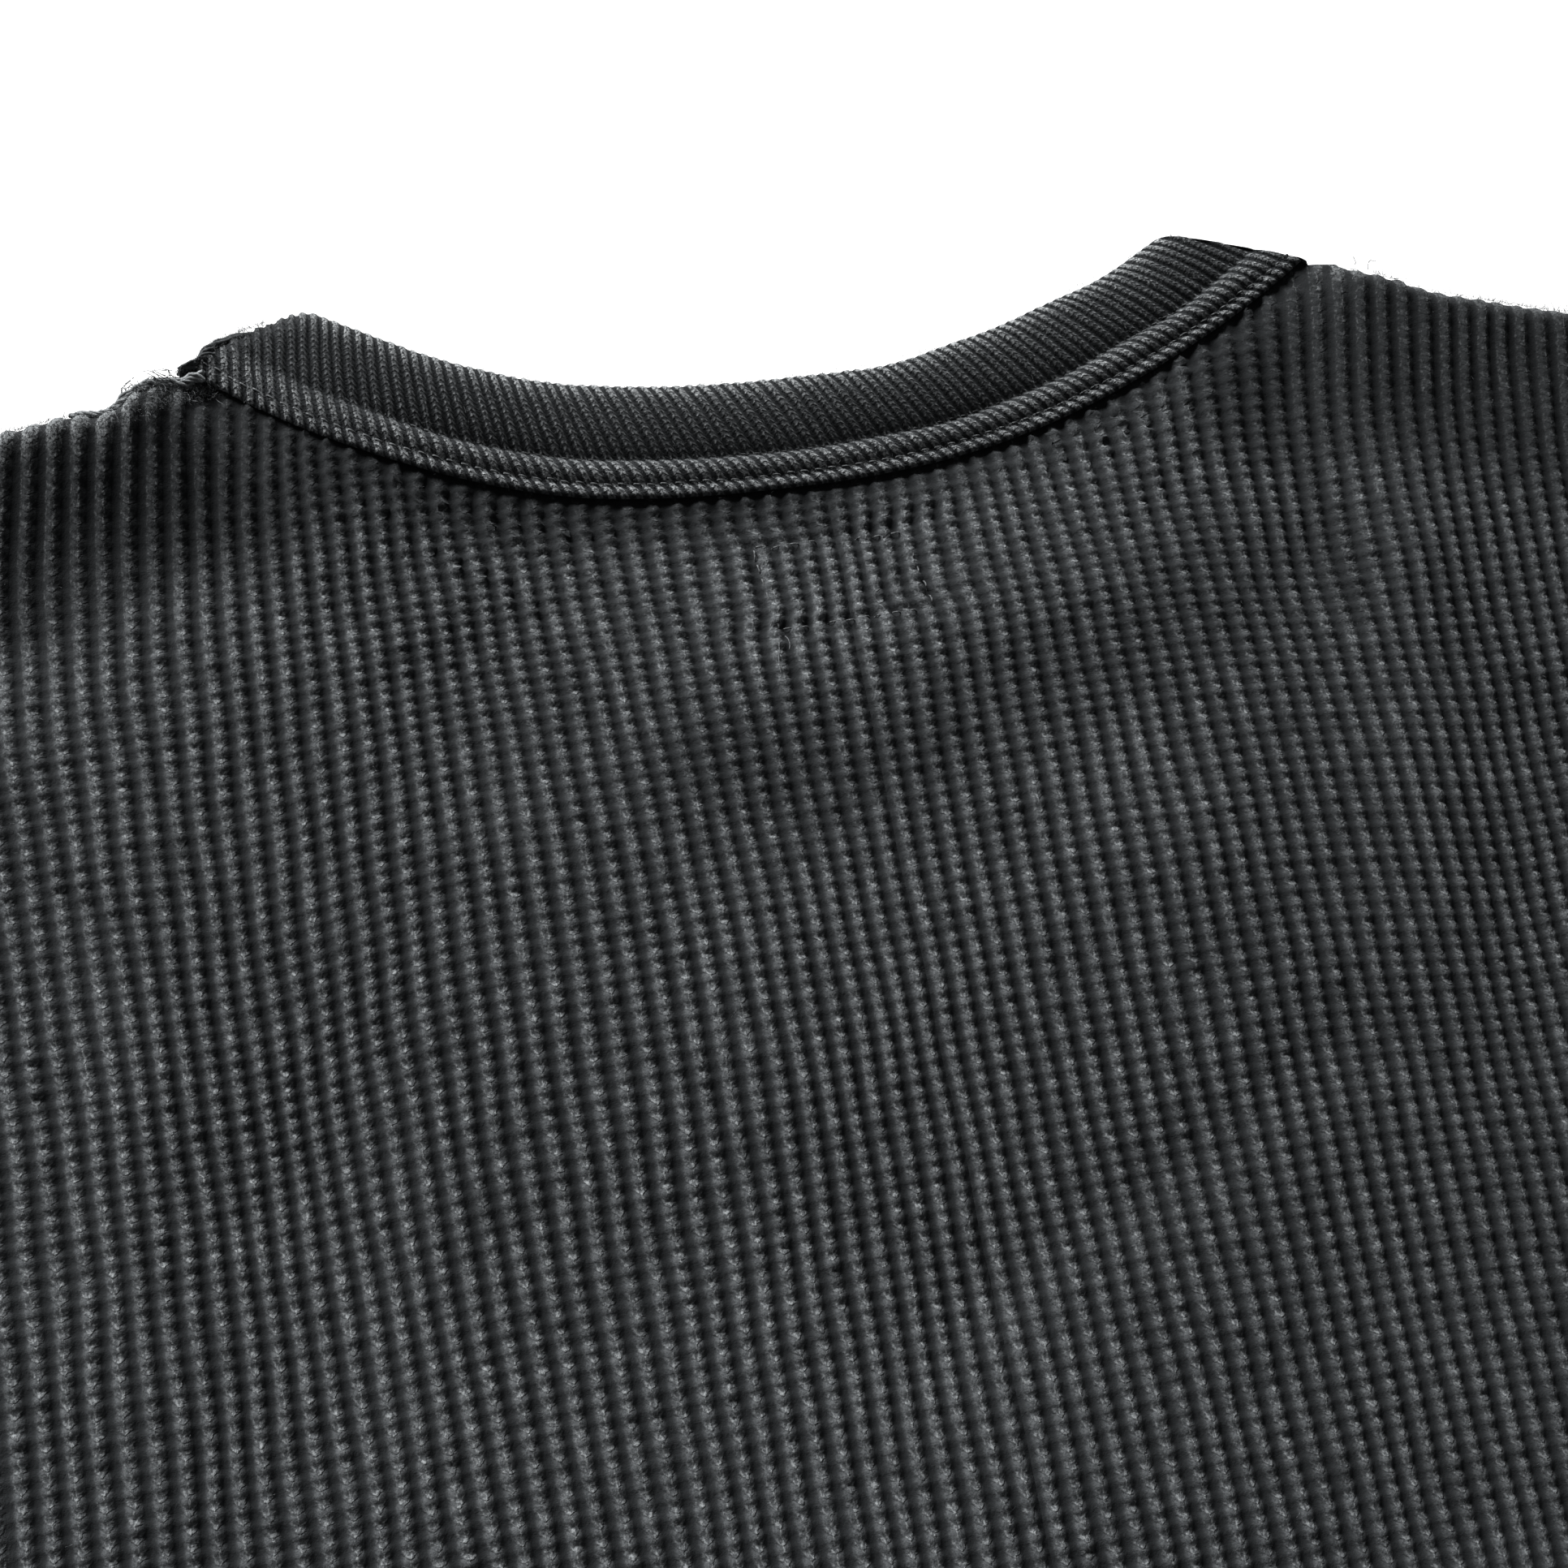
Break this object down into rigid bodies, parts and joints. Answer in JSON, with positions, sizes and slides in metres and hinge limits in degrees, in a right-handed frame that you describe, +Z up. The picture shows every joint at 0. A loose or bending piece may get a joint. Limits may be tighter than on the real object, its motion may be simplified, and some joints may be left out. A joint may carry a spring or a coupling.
{
  "type": "thermal top laid flat",
  "caption": "Long-sleeved waffle-knit thermal top with a bound rib crew neck and rib cuffs, lying flat with its back up.",
  "frame": {"origin": "middle of the footprint's box, on the surface the top lies on", "axes": "+X to the wearer's right sleeve, +Y to the neck, +Z up out of the surface; the back of the top faces up"},
  "size_m": [1.5646, 0.7, 0.0102],
  "materials": {
    "waffle_knit": "matt garment-dyed charcoal cotton waffle knit, paler on its ribs and dark in its pits",
    "rib_knit": "matt garment-dyed charcoal cotton 1x1 rib, rubbed paler along its folds"
  },
  "bodies": {
    "root": {"back": "waffle_knit", "front": "waffle_knit", "sleeve_left": "waffle_knit", "sleeve_right": "waffle_knit", "collar": "rib_knit", "cuff_left": "rib_knit", "cuff_right": "rib_knit"}
  },
  "joints": []
}
